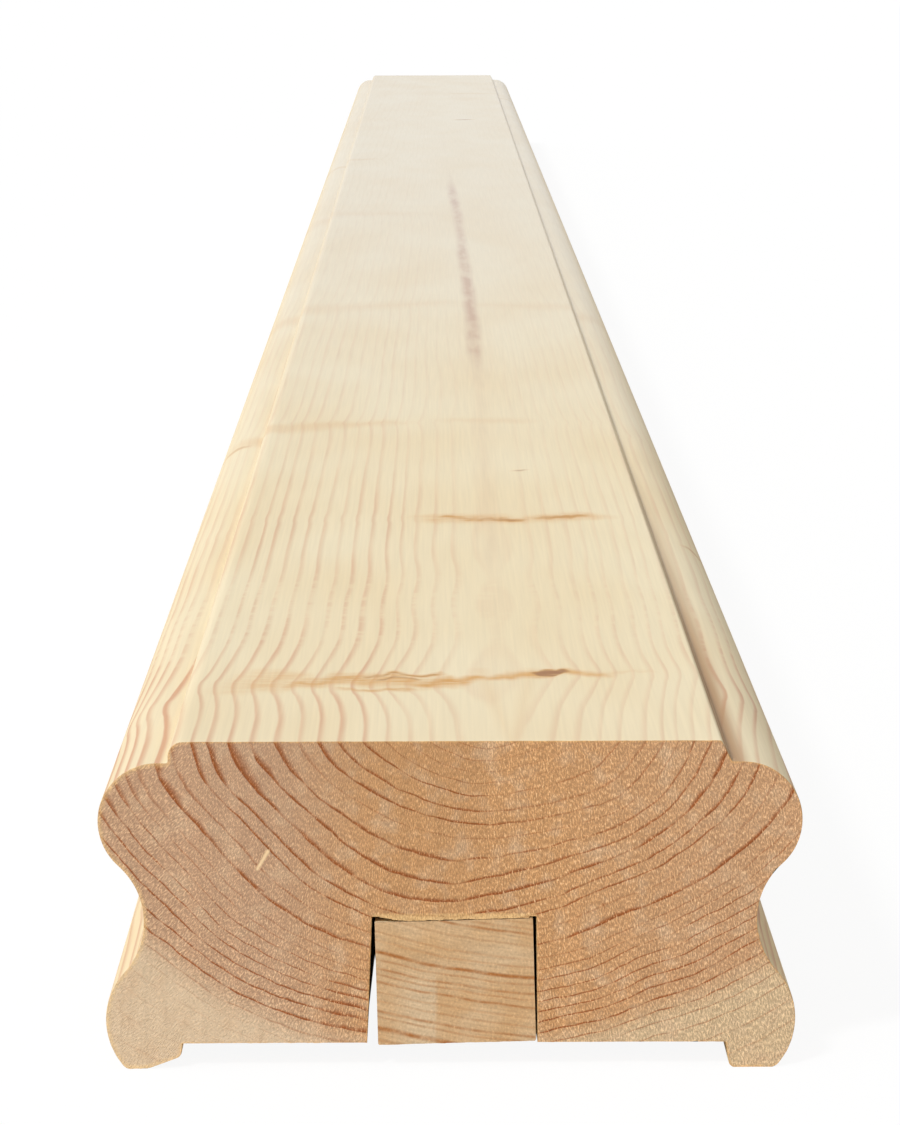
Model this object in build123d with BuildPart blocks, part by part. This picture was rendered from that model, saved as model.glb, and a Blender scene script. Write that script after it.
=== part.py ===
"""Pine handrail: one moulded length, with the loose fillet strip that fills its baluster groove.

Millimetres. The rail lies as it is sold, underside down: X runs across it, Y along it and Z up.
The origin is on the floor, under the middle of the rail. The section is drawn as it is seen
when looking along +Y at the near end.
"""

import os
from math import cos, radians, sin, sqrt, tan

from build123d import *

# Stock, planed from one sawn length
rail_length = 2400.0
rail_width = 95.0
rail_height = 45.0

# Table, the flat top that the hand slides on, and the quirk beside it
shoulder_width = 9.5
quirk_depth = 2.9
quirk_radius = 0.25
left_table_radius = 2.0
right_table_radius = 1.4

# Moulded sides: a bead, a cove for the fingers and a rounded foot
bead_radius = 8.0
cove_inset = 6.05
foot_inset = 0.8
foot_radius = 9.9
foot_centre_height = 6.75
foot_edge_radius = 1.6

# Recess in the underside, cut a little off the centre, between the two lips that the rail stands on
underside_offset = 0.5
lip_width = 9.9
recess_depth = 3.5
recess_lean = 8.0
right_lip_radius = 0.7
left_lip_bevel_width = 4.4
left_lip_bevel_height = 1.7

# Groove for square balusters, in the middle of the recess and wider at its mouth
groove_width = 22.2
groove_depth = 17.4
groove_left_lean = 2.4
groove_right_lean = 0.5

# Fillet strip, held at a slight tilt by the groove's right side
strip_side_clearance = 0.4
strip_height_clearance = 0.4
strip_tilt = 1.37
strip_top_gap = 0.2
strip_wall_gap = 0.2

# Heights and half widths that follow from the sizes above
half_width = rail_width / 2
table_half = half_width - shoulder_width
bead_top = rail_height - quirk_depth
bead_centre = Vector(half_width - bead_radius, bead_top - bead_radius)
foot_half = half_width - foot_inset
foot_centre = Vector(foot_half - foot_radius, foot_centre_height)
foot_end = foot_centre.X + sqrt(foot_radius**2 - foot_centre_height**2)
waist = Vector(half_width - cove_inset, (bead_centre.Y + foot_centre.Y) / 2)
recess_half = foot_half - lip_width
recess_mouth_half = recess_half + recess_depth * tan(radians(recess_lean))
groove_half = groove_width / 2
groove_root = recess_depth + groove_depth


def cove_centre(nose_centre, nose_radius):
    """Centre of the arc that is upright at the waist and runs smoothly into a rounded nose.

    The two circles touch from outside, so the distance between their centres is the sum of
    their radii. That gives the sum from how far the nose stands out past the waist and from
    the height between them.
    """
    overhang = nose_centre.X + nose_radius - waist.X
    rise = abs(nose_centre.Y - waist.Y)
    radius_sum = (rise**2 + overhang**2) / (2 * overhang)
    return Vector(waist.X + radius_sum - nose_radius, waist.Y)


def meeting_point(nose_centre, nose_radius):
    """Point where a nose ends and its side of the cove begins, on the line of their centres."""
    return nose_centre + (cove_centre(nose_centre, nose_radius) - nose_centre).normalized() * nose_radius


def corner_at(outline, x, height):
    """The corner of an outline that is nearest to a place on the section."""
    return outline.vertices().sort_by_distance((x, height))[0]


# Handrail: the moulded section, mirrored about the middle, less the recess and the groove
with BuildPart() as handrail:
    with BuildSketch(Plane.XZ) as section:
        with BuildLine():
            quirk_side = Line((table_half, rail_height), (table_half, bead_top))
            quirk_floor = Line(quirk_side @ 1, (bead_centre.X, bead_top))
            bead_end = meeting_point(bead_centre, bead_radius)
            bead = ThreePointArc(quirk_floor @ 1, (half_width, bead_centre.Y), bead_end)
            upper_cove = TangentArc(bead @ 1, waist, tangent=bead % 1)
            foot_start = meeting_point(foot_centre, foot_radius)
            lower_cove = TangentArc(upper_cove @ 1, foot_start, tangent=upper_cove % 1)
            foot = ThreePointArc(lower_cove @ 1, (foot_half, foot_centre.Y), (foot_end, 0))
            mirror(about=Plane.YZ)
            table = Line((-table_half, rail_height), quirk_side @ 0)
            sole = Line((-foot_end, 0), foot @ 1)
        make_face()

        with Locations((underside_offset, 0)):
            Polygon(
                (-recess_half, recess_depth),
                (recess_half, recess_depth),
                (recess_mouth_half, 0),
                (-recess_mouth_half, 0),
                align=None,
                mode=Mode.SUBTRACT,
            )
            Polygon(
                (-groove_half, groove_root),
                (groove_half, groove_root),
                (groove_half + groove_root * tan(radians(groove_right_lean)), 0),
                (-groove_half - groove_root * tan(radians(groove_left_lean)), 0),
                align=None,
                mode=Mode.SUBTRACT,
            )

        fillet(corner_at(section, -table_half, rail_height), left_table_radius)
        fillet(corner_at(section, table_half, rail_height), right_table_radius)
        for side in (-1, 1):
            fillet(corner_at(section, side * table_half, bead_top), quirk_radius)
            fillet(corner_at(section, side * foot_end, 0), foot_edge_radius)
        fillet(corner_at(section, underside_offset + recess_mouth_half, 0), right_lip_radius)
        left_lip = section.edges().group_by(Axis.Y)[0].sort_by(Axis.X)[0]
        left_lip_corner = corner_at(section, underside_offset - recess_mouth_half, 0)
        chamfer(left_lip_corner, left_lip_bevel_width, left_lip_bevel_height, reference=left_lip)
    extrude(amount=rail_length / 2, both=True)

# Fillet strip: placed by its top right corner, from the groove's root and its right side
strip_width = groove_width - 2 * strip_side_clearance
strip_height = groove_depth - strip_height_clearance
strip_drop = strip_top_gap + strip_height * cos(radians(strip_tilt))
strip_wall = underside_offset + groove_half + strip_drop * tan(radians(groove_right_lean))
strip_corner_x = strip_wall - strip_wall_gap - strip_height * sin(radians(strip_tilt))
strip_corner_z = groove_root - strip_top_gap

with BuildPart() as fillet_strip:
    with BuildSketch(Plane.XZ):
        with Locations((strip_corner_x, strip_corner_z)):
            Rectangle(strip_width, strip_height, strip_tilt, align=(Align.MAX, Align.MAX))
    extrude(amount=rail_length / 2, both=True)

handrail.part.label = "handrail"
fillet_strip.part.label = "fillet_strip"

os.makedirs("parts", exist_ok=True)
export_step(handrail.part, "parts/handrail.step")
export_step(fillet_strip.part, "parts/fillet_strip.step")
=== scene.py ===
"""Pine handrail lying underside down, with the loose fillet strip in its baluster groove.

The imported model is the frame. Its two solids are replaced by finer meshes of the same sections, and
both are dressed as pine. The rail's growth rings are one solid figure, so a ring that shows on the
sawn end runs on along the planed sides.

The scene is in metres. Sections and wood figures are written in millimetres, with X across the rail,
Z up and "along" counted from the near end.
"""

import logging
import math
from dataclasses import dataclass
from enum import Enum
from typing import Any, Sequence

import bpy
import numpy as np
from mathutils import Matrix, Vector


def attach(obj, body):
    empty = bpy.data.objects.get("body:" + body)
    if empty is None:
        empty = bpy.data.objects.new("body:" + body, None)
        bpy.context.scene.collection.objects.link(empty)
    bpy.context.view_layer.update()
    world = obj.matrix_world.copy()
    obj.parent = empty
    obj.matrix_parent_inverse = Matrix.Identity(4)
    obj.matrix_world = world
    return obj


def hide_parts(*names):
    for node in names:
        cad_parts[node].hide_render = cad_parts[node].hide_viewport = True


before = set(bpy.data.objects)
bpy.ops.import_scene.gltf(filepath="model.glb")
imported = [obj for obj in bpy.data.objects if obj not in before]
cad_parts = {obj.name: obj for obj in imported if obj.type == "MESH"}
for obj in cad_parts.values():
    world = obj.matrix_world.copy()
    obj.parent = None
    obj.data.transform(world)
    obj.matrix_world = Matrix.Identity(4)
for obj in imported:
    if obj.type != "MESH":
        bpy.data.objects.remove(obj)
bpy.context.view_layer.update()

LOG = logging.getLogger("handrail")
MM = 0.001
RAIL_LENGTH = 2400.0

# Pairs of a place and the value there
Table = tuple[tuple[float, float], ...]


class Cut(Enum):
    """How a face of the wood was made, as the number of its material."""

    PLANED = 0
    SAWN = 1


def linear(code: str) -> tuple[float, float, float, float]:
    """Turn an sRGB colour into the linear colour that Blender's sockets take.

    Args:
        code: Colour as "#rrggbb".

    Returns:
        Linear red, green and blue, and an alpha of 1.
    """
    srgb = np.array([int(code[i : i + 2], 16) for i in (1, 3, 5)]) / 255
    rgb = np.where(srgb <= 0.04045, srgb / 12.92, ((srgb + 0.055) / 1.055) ** 2.4)
    return (*rgb.tolist(), 1.0)


def straight(start: Sequence[float], end: Sequence[float], count: int) -> np.ndarray:
    """Points at even steps on a line, from its start up to just before its end.

    Args:
        start: First point, across and up.
        end: Point that the line runs to.
        count: Number of steps.

    Returns:
        An array of count points.
    """
    part = np.linspace(0, 1, count, endpoint=False)[:, None]
    return np.array(start) + (np.array(end) - np.array(start)) * part


def arc(centre: Sequence[float], radius: float, first: float, last: float, count: int) -> np.ndarray:
    """Points at even angles on an arc, from its first angle up to just before its last.

    Args:
        centre: Centre of the arc, across and up.
        radius: Radius of the arc.
        first: Angle of the first point, in degrees from across towards up.
        last: Angle that the arc runs to.
        count: Number of steps.

    Returns:
        An array of count points.
    """
    angle = np.radians(np.linspace(first, last, count, endpoint=False))
    return np.array(centre) + radius * np.stack([np.cos(angle), np.sin(angle)], axis=1)


def cells(net: np.ndarray) -> np.ndarray:
    """Four-cornered faces between neighbours in a net of point numbers."""
    corners = (net[:-1, :-1], net[:-1, 1:], net[1:, 1:], net[1:, :-1])
    return np.stack(corners, axis=-1).reshape(-1, 4)


def linked(name: str, data: bpy.types.ID) -> bpy.types.Object:
    """Make an object and link it to the scene.

    Args:
        name: Name of the object.
        data: Its mesh, lamp or camera.

    Returns:
        The new object, at the origin.
    """
    piece = bpy.data.objects.new(name, data)
    bpy.context.scene.collection.objects.link(piece)
    return piece


@dataclass(frozen=True)
class RailSection:
    """Moulded section of the rail, from the sizes of its CAD solid, in millimetres.

    It is drawn as two matched chains of points, both from the left lip to the right lip: the outline
    over the table, and the underside with its recess and groove.
    """

    width: float = 95.0
    height: float = 45.0
    shoulder_width: float = 9.5
    quirk_depth: float = 2.9
    quirk_radius: float = 0.25
    left_table_radius: float = 2.0
    right_table_radius: float = 0.5
    right_step_lean: float = 27.0
    bead_radius: float = 8.0
    cove_inset: float = 6.05
    foot_inset: float = 0.8
    foot_radius: float = 9.9
    foot_centre_height: float = 6.75
    foot_edge_radius: float = 1.6
    underside_offset: float = 0.5
    lip_width: float = 9.9
    recess_depth: float = 3.5
    recess_lean: float = 8.0
    right_lip_radius: float = 0.7
    left_bevel_width: float = 4.4
    left_bevel_height: float = 1.7
    left_bevel_round: float = 0.9
    groove_width: float = 22.2
    groove_depth: float = 17.4
    groove_left_lean: float = 2.4
    groove_right_lean: float = 0.5
    table_steps: int = 150

    def flank(self, table_radius: float, lean: float) -> np.ndarray:
        """One moulded side, on the right, from its lip up to the table.

        Arcs that touch: the foot's edge, the foot, the two halves of the cove and the bead. Two touching
        circles have their centres one sum or difference of radii apart, which gives the angles where one
        arc hands over to the next.

        Args:
            table_radius: Radius of the round between the table and the step down to the quirk.
            lean: Angle that the step leans inwards, in degrees.

        Returns:
            Points from the lip's flat to the table, both ends included.
        """
        half = self.width / 2
        bead = np.array([half - self.bead_radius, self.height - self.quirk_depth - self.bead_radius])
        foot = np.array([half - self.foot_inset - self.foot_radius, self.foot_centre_height])
        waist = np.array([half - self.cove_inset, (bead[1] + foot[1]) / 2])
        table_half = half - self.shoulder_width
        bead_top = bead[1] + self.bead_radius
        edge_rise = self.foot_edge_radius - foot[1]
        edge_reach = math.sqrt((self.foot_radius - self.foot_edge_radius) ** 2 - edge_rise**2)
        edge_turn = math.degrees(math.atan2(edge_rise, edge_reach))

        def cove(nose: np.ndarray, radius: float) -> tuple[np.ndarray, float, float]:
            """Find the half of the cove that touches a nose from outside and is upright at the waist.

            Args:
                nose: Centre of the bead or the foot.
                radius: Its radius.

            Returns:
                Centre and radius of the arc, and the angle from the nose's centre to it.
            """
            overhang = nose[0] + radius - waist[0]
            rise = abs(nose[1] - waist[1])
            radius_sum = (rise**2 + overhang**2) / (2 * overhang)
            centre = np.array([waist[0] + radius_sum - radius, waist[1]])
            return centre, radius_sum - radius, math.degrees(math.atan2(*(centre - nose)[::-1]))

        low_centre, low_radius, low_turn = cove(foot, self.foot_radius)
        high_centre, high_radius, high_turn = cove(bead, self.bead_radius)
        edge_centre = (foot[0] + edge_reach, self.foot_edge_radius)
        quirk = self.quirk_radius
        out = np.array([math.cos(math.radians(lean)), math.sin(math.radians(lean))])
        quirk_centre = np.array([table_half + quirk * (1 - out[1]) / out[0], bead_top + quirk])
        round_rise = self.height - table_radius - bead_top
        round_across = table_half - (table_radius + round_rise * out[1]) / out[0]
        round_centre = np.array([round_across, self.height - table_radius])
        return np.concatenate(
            [
                arc(edge_centre, self.foot_edge_radius, -90, edge_turn, 6),
                arc(foot, self.foot_radius, edge_turn, low_turn, 28),
                arc(low_centre, low_radius, 180 + low_turn, 180, 16),
                arc(high_centre, high_radius, 180, 180 + high_turn, 16),
                arc(bead, self.bead_radius, high_turn, 90, 36),
                straight((bead[0], bead_top), (quirk_centre[0], bead_top), 4),
                arc(quirk_centre, quirk, 270, 180 + lean, 3),
                straight(quirk_centre - quirk * out, round_centre + table_radius * out, 3),
                arc(round_centre, table_radius, lean, 90, 8),
                [(round_centre[0], self.height)],
            ]
        )

    def outline(self) -> np.ndarray:
        """Chain over the table: the left side, the table and the right side."""
        left = self.flank(self.left_table_radius, 0.0) * (-1, 1)
        right = self.flank(self.right_table_radius, self.right_step_lean)[::-1]
        return np.concatenate([left[:-1], straight(left[-1], right[0], self.table_steps), right])

    def underside(self) -> np.ndarray:
        """Chain under the outline: lip, recess and groove, then back down to the other lip.

        Its steps are counted so that each of its points stands across from one point of the outline.

        Returns:
            As many points as the outline has.
        """
        middle = self.underside_offset
        recess_half = self.width / 2 - self.foot_inset - self.lip_width
        recess_turn = math.radians(self.recess_lean)
        mouth_half = recess_half + self.recess_depth * math.tan(recess_turn)
        groove_half = self.groove_width / 2
        root = self.recess_depth + self.groove_depth
        left_mouth, right_mouth = (
            groove_half + self.groove_depth * math.tan(math.radians(side))
            for side in (self.groove_left_lean, self.groove_right_lean)
        )
        wall = np.array([math.sin(recess_turn), math.cos(recess_turn)])
        left_corner = np.array([middle - mouth_half, 0.0])
        left_bevel = left_corner + wall * self.left_bevel_height
        slope = left_bevel - left_corner + (self.left_bevel_width, 0)
        slope = slope / np.linalg.norm(slope)
        slope_turn = math.degrees(math.atan2(slope[1], slope[0]))
        round_cut = self.left_bevel_round * math.tan(math.radians(90 - self.recess_lean - slope_turn) / 2)
        round_start = left_bevel - slope * round_cut
        round_centre = round_start + self.left_bevel_round * np.array([-slope[1], slope[0]])
        left_recess = (middle - recess_half, self.recess_depth)
        right_recess = (middle + recess_half, self.recess_depth)
        left_edge = (middle - left_mouth, self.recess_depth)
        right_edge = (middle + right_mouth, self.recess_depth)
        left_root = (middle - groove_half, root)
        right_root = (middle + groove_half, root)
        lip_cut = self.right_lip_radius / math.tan(math.radians(45 + self.recess_lean / 2))
        right_corner = np.array([middle + mouth_half, 0.0])
        lip_centre = right_corner + (lip_cut, self.right_lip_radius)
        lip_start = right_corner + wall * (-lip_cut, lip_cut)
        return np.concatenate(
            [
                straight(left_corner - (self.left_bevel_width, 0), round_start, 8),
                arc(round_centre, self.left_bevel_round, slope_turn - 90, -self.recess_lean, 6),
                straight(left_bevel + wall * round_cut, left_recess, 6),
                straight(left_recess, left_edge, 60),
                straight(left_edge, left_root, 40),
                straight(left_root, right_root, self.table_steps),
                straight(right_root, right_edge, 40),
                straight(right_edge, right_recess, 60),
                straight(right_recess, lip_start, 10),
                arc(lip_centre, self.right_lip_radius, 180 + self.recess_lean, 270, 10),
                [(lip_centre[0], 0.0)],
            ]
        )


@dataclass(frozen=True)
class StripSection:
    """Section of the fillet strip, from the sizes of its CAD solid, in millimetres."""

    width: float = 21.4
    height: float = 17.0
    tilt: float = 1.37
    corner_across: float = 11.14
    corner_height: float = 20.7
    arris_radius: float = 0.2
    steps: int = 60

    def placed(self, flat: np.ndarray) -> np.ndarray:
        """Turn points by the strip's tilt and put their origin on its top right corner.

        Args:
            flat: Points across and up, measured from the top right corner of an untilted strip.

        Returns:
            The points in the rail's section.
        """
        turn = math.radians(self.tilt)
        across = np.array([math.cos(turn), math.sin(turn)])
        up = np.array([-math.sin(turn), math.cos(turn)])
        corner = np.array([self.corner_across, self.corner_height])
        return corner + flat[:, :1] * across + flat[:, 1:] * up

    def edge(self, height: float, side: int) -> np.ndarray:
        """One long edge of the section with its two rounded corners, from left to right.

        Args:
            height: Height of the edge, from the top.
            side: 1 for the upper edge, -1 for the lower one.

        Returns:
            Points along the edge.
        """
        r = self.arris_radius
        inner = height - side * r
        flat = np.concatenate(
            [
                arc((r - self.width, inner), r, 180, 180 - side * 90, 5),
                straight((r - self.width, height), (-r, height), self.steps),
                arc((-r, inner), r, side * 90, 0, 5),
                [(0.0, inner)],
            ]
        )
        return self.placed(flat)

    def outline(self) -> np.ndarray:
        """Chain over the top of the strip."""
        return self.edge(0.0, 1)

    def underside(self) -> np.ndarray:
        """Chain under the strip, with as many points as the chain over it."""
        return self.edge(-self.height, -1)


@dataclass(frozen=True)
class SawnEnds:
    """Cross cut ends of a length of wood: their relief and the worn edge round them, in millimetres."""

    relief: float = 0.12
    edge_wear: float = 0.16
    wear_depths: tuple[float, ...] = (0.0, 0.25, 0.6)
    wear_shares: tuple[float, ...] = (1.0, 0.35, 0.0)
    wear_waves: tuple[float, float] = (0.7, 9.0)
    relief_waves: tuple[float, float] = (1.2, 14.0)
    wave_count: int = 40
    usual_sum: float = 9.0
    seed: int = 5

    def ripple(self, points: np.ndarray, finest: float, coarsest: float, shift: int) -> np.ndarray:
        """Even random ripples: a sum of plane sine waves of random length, direction and phase.

        Args:
            points: Places to work out, as rows of across and up.
            finest: Shortest wave.
            coarsest: Longest wave.
            shift: Added to the seed, so that each use has its own ripples.

        Returns:
            One value for each place, from about -1 to 1.
        """
        dice = np.random.default_rng(self.seed + shift)
        turn = dice.uniform(0, math.pi, self.wave_count)
        length = np.exp(dice.uniform(math.log(finest), math.log(coarsest), self.wave_count))
        pitch = 2 * math.pi / length
        waves = np.stack([np.cos(turn) * pitch, np.sin(turn) * pitch])
        phase = dice.uniform(0, 2 * math.pi, self.wave_count)
        return np.sin(points @ waves + phase).sum(axis=1) / self.usual_sum

    def wear(self, rim: np.ndarray) -> np.ndarray:
        """How far each rim point is worn inwards: from a fifth of the wear to all of it, at random."""
        return self.edge_wear * (0.6 + 0.4 * np.clip(self.ripple(rim, *self.wear_waves, 0), -1, 1))

    def hollow(self, face: np.ndarray, shift: int) -> np.ndarray:
        """How deep each point of an end lies: from nothing to the whole relief, at random."""
        return self.relief * (0.5 + 0.5 * np.clip(self.ripple(face, *self.relief_waves, shift), -1, 1))


@dataclass(frozen=True)
class Burr:
    """Torn fibres that the saw left hanging from the groove's root, over the slot above the strip."""

    root: float = 20.9
    left: float = -9.6
    full: float = -6.5
    right: float = 10.7
    left_slot: float = 0.69
    right_slot: float = 0.21
    share: float = 0.82
    ragged: float = 0.15
    most: float = 0.95
    waves: tuple[float, float] = (0.6, 4.0)

    def hang(self, points: np.ndarray, ripple: np.ndarray) -> np.ndarray:
        """How far the fibres hang from each rim point: a share of the slot, with a ragged lower edge.

        Args:
            points: Rim points, as rows of across and up.
            ripple: Random value for each point, from about -1 to 1.

        Returns:
            Lengths, 0 away from the groove's root.
        """
        x = points[:, 0]
        on_root = (np.abs(points[:, 1] - self.root) < 0.01) & (x > self.left) & (x < self.right)
        slot = np.interp(x, [self.left, self.right], [self.left_slot, self.right_slot])
        grown = np.clip((x - self.left) / (self.full - self.left), 0, 1)
        part = np.clip(self.share + self.ragged * ripple, 0, self.most)
        return np.where(on_root, slot * grown * part, 0.0)


@dataclass(frozen=True)
class Length:
    """A length of wood: a section of two matched chains, carried along the rail."""

    name: str
    outline: np.ndarray
    underside: np.ndarray
    rows: int
    ends: SawnEnds
    burr: Burr | None = None
    length: float = RAIL_LENGTH
    edge_rows: tuple[float, ...] = (0.0, 0.12, 0.35, 0.8, 1.6)
    slim_reach: float = 8.0
    depths: tuple[float, ...] = (1.5, 4, 10, 22, 45, 80, 130, 200, 290, 400, 530, 680, 850, 1025)
    crease: float = 38.0
    # Bake sheet, as shares of it: its margin, the sides' height, an end's size and where the sides start
    margin: float = 0.005
    sides_height: float = 0.725
    end_size: tuple[float, float] = (0.485, 0.25)
    sides_start: float = 0.002
    worn_end: float = 0.012

    def patch(self) -> np.ndarray:
        """End face as a grid: each row is a share of the way from the outline to the underside.

        The rows crowd towards both chains, so that the worn edge has points of its own.

        Returns:
            Array of rows by columns by two.
        """
        rule = self.underside - self.outline
        reach = np.linalg.norm(rule, axis=1)
        crowd = np.array(self.edge_rows)[:, None] * np.minimum(1, reach / self.slim_reach) / reach
        middle = np.linspace(0, 1, self.rows - 2 * len(crowd) + 2)[1:-1, None]
        share = np.concatenate([crowd, crowd[-1] + (1 - 2 * crowd[-1]) * middle, 1 - crowd[::-1]])
        return self.outline + rule * share[:, :, None]

    def stations(self) -> np.ndarray:
        """Places along the length: close together at the worn ends and wide apart between them."""
        half = np.array([*self.ends.wear_depths, *self.depths]) - self.length / 2
        return np.concatenate([half, [0.0], -half[::-1]])

    def bake_map(self, ring: np.ndarray, patch: np.ndarray) -> np.ndarray:
        """Lay the faces out flat for a bake: the sides fill most of the sheet, with both ends under them.

        A side point lies at its share of the length, the worn ends stretched, and at its share of the way
        round the rim. An end point lies at its shares of the width and the height.

        Args:
            ring: Points of the rim, in order.
            patch: End face, as patch() gives it.

        Returns:
            Place on the sheet of every corner of every face.
        """
        half = self.length / 2
        body = half - self.depths[0]
        starts = [self.sides_start, self.worn_end, 1 - self.worn_end, 1 - self.sides_start]
        run = np.interp(self.stations(), [-half, -body, body, half], starts)
        steps = np.linalg.norm(np.roll(ring, -1, axis=0) - ring, axis=1)
        around = np.concatenate([[0.0], np.cumsum(steps)]) / steps.sum()
        down = 1 - self.margin - self.sides_height * around
        sides = np.stack(np.meshgrid(run, down, indexing="ij"), axis=-1)
        low = patch.min(axis=(0, 1))
        end = (patch - low) / (patch.max(axis=(0, 1)) - low) * self.end_size + self.margin
        side_net, end_net = (np.arange(grid[..., 0].size).reshape(grid.shape[:2]) for grid in (sides, end))
        near = end.reshape(-1, 2)[cells(end_net)[:, ::-1]]
        far = end.reshape(-1, 2)[cells(end_net)] * (-1, 1) + (1.0, 0.0)
        return np.concatenate([sides.reshape(-1, 2)[cells(side_net)], near, far])

    def build(self) -> bpy.types.Object:
        """Make the mesh: the rim of the end patch carried along Y, closed by the patch at both ends.

        A rim point at a station lies at the rim's place there, moved inwards by the edge wear, which is
        full at the end and gone a little way in. The ends are the patch itself, pushed in by the relief.

        Returns:
            The new object, at the origin, with its "rim" attribute: the distance from the rim, on the ends.
        """
        patch = self.patch()
        rows, columns = patch.shape[:2]
        grid = np.arange(rows * columns).reshape(rows, columns)
        rim = np.concatenate([grid[0], grid[1:-1, -1], grid[-1, ::-1], grid[-2:0:-1, 0]])
        flat = patch.reshape(-1, 2)
        ring = flat[rim]
        step = np.roll(ring, -1, axis=0) - np.roll(ring, 1, axis=0)
        inward = np.stack([step[:, 1], -step[:, 0]], axis=1) / np.linalg.norm(step, axis=1)[:, None]
        inner = np.setdiff1d(grid.ravel(), rim)
        stations = self.stations()
        last = len(stations) - 1
        share = np.zeros(len(stations))
        share[: len(self.ends.wear_shares)] = self.ends.wear_shares
        share[-len(self.ends.wear_shares) :] = self.ends.wear_shares[::-1]
        wear = self.ends.wear(ring)
        if self.burr:
            hang = self.burr.hang(ring, self.ends.ripple(ring, *self.burr.waves, 3))
            wear = np.where(hang > 0, -hang, wear)
        across = ring[None] + (share[:, None] * wear[None])[:, :, None] * inward[None]
        along = np.repeat(stations[:, None], len(rim), axis=1)
        near_relief, far_relief = (self.ends.hollow(flat, shift) for shift in (1, 2))
        along[0] += near_relief[rim]
        along[last] -= far_relief[rim]
        sides = np.stack([across[..., 0], along, across[..., 1]], axis=-1).reshape(-1, 3)
        near = np.stack([flat[inner, 0], stations[0] + near_relief[inner], flat[inner, 1]], axis=1)
        far = np.stack([flat[inner, 0], stations[last] - far_relief[inner], flat[inner, 1]], axis=1)
        points = np.concatenate([sides, near, far])

        net = np.arange(len(sides)).reshape(len(stations), len(rim))
        near_net = np.empty(rows * columns, int)
        near_net[rim] = net[0]
        near_net[inner] = len(sides) + np.arange(len(inner))
        far_net = np.empty(rows * columns, int)
        far_net[rim] = net[last]
        far_net[inner] = len(sides) + len(inner) + np.arange(len(inner))
        side_faces = cells(np.concatenate([net, net[:, :1]], axis=1))
        end_faces = [cells(n.reshape(rows, columns)) for n in (near_net, far_net)]
        end_faces[0] = end_faces[0][:, ::-1]
        faces = np.concatenate([side_faces, *end_faces])
        mesh = bpy.data.meshes.new(self.name)
        mesh.from_pydata(points * MM, [], faces)
        cuts = np.full(len(faces), Cut.SAWN.value, np.int32)
        cuts[len(rim) : len(side_faces) - len(rim)] = Cut.PLANED.value
        mesh.polygons.foreach_set("material_index", cuts)
        mesh.uv_layers.new(name="OFBake").uv.foreach_set("vector", self.bake_map(ring, patch).ravel())
        apart = np.linalg.norm(flat[inner][:, None] - ring[None, ::2], axis=2).min(axis=1)
        distance = np.concatenate([np.zeros(len(sides)), apart, apart])
        mesh.attributes.new("rim", "FLOAT", "POINT").data.foreach_set("value", distance.astype(np.float32))
        mesh.shade_smooth()
        mesh.set_sharp_from_angle(angle=math.radians(self.crease))
        return linked(self.name, mesh)


# The property that a word after a node's type sets
MODES = {
    "Math": "operation",
    "VectorMath": "operation",
    "MapRange": "interpolation_type",
    "MixRGB": "blend_type",
}


class NodeSheet:
    """A node tree that is being written."""

    def __init__(self, tree: bpy.types.NodeTree) -> None:
        """Take over a tree and clear it."""
        self.tree = tree
        tree.nodes.clear()

    def add(
        self,
        kind: str,
        *inputs: Any,
        out: int | str = 0,
        size: Sequence[float] = (),
        stops: Sequence[tuple[float, Sequence[float]]] = (),
        points: Sequence[tuple[float, float]] = (),
        stepped: bool = False,
        **settings: Any,
    ) -> bpy.types.NodeSocket:
        """Add one node, set it and link it.

        Args:
            kind: Type of the node, without the words ShaderNode, and after a space its mode.
            inputs: For each socket from the first on, a value, "#rrggbb", a socket to link, or None.
            out: Output to hand back.
            size: Size of a pattern across, along and up, by which its place is divided.
            stops: Places and colours of a ramp.
            points: Places and heights of a curve.
            stepped: Whether a ramp jumps from stop to stop, and a curve runs straight between its points.
            settings: Properties in lower case, and sockets with a capital, with _ for a space.

        Returns:
            The output, or None where the node has none.
        """
        kind, _, mode = kind.partition(" ")
        node = self.tree.nodes.new("ShaderNode" + kind)
        if mode:
            setattr(node, MODES[kind], mode)
        if size:
            scaled = self.add("VectorMath MULTIPLY", inputs[0], [1 / width for width in size])
            inputs = (scaled, *inputs[1:])
            settings["Scale"] = 1.0
        wanted = list(zip(node.inputs, inputs))
        for name, value in settings.items():
            if name[0].isupper():
                wanted.append((node.inputs[name.replace("_", " ")], value))
            else:
                setattr(node, name, value)
        for socket, value in wanted:
            if isinstance(value, bpy.types.NodeSocket):
                self.tree.links.new(value, socket)
            elif value is not None:
                socket.default_value = linear(value) if isinstance(value, str) else value
        if stops:
            ramp = node.color_ramp
            ramp.interpolation = "CONSTANT" if stepped else "LINEAR"
            ramp.elements.remove(ramp.elements[1])
            ramp.elements[0].position = stops[0][0]
            ramp.elements[0].color = stops[0][1]
            for place, shade in stops[1:]:
                ramp.elements.new(place).color = shade
        if points:
            curve = node.mapping.curves[0]
            curve.points[0].location = points[0]
            curve.points[1].location = points[-1]
            for place, height in points[1:-1]:
                curve.points.new(place, height)
            for point in curve.points:
                point.handle_type = "VECTOR" if stepped else "AUTO_CLAMPED"
            node.mapping.update()
        return node.outputs[out] if len(node.outputs) else None

    def place(self) -> bpy.types.NodeSocket:
        """Add the point that is shaded, in millimetres across the rail, along it and up."""
        metres = self.add("TexCoord", out="Object")
        return self.add("VectorMath MULTIPLY_ADD", metres, [1 / MM] * 3, (0, RAIL_LENGTH / 2, 0))


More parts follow.
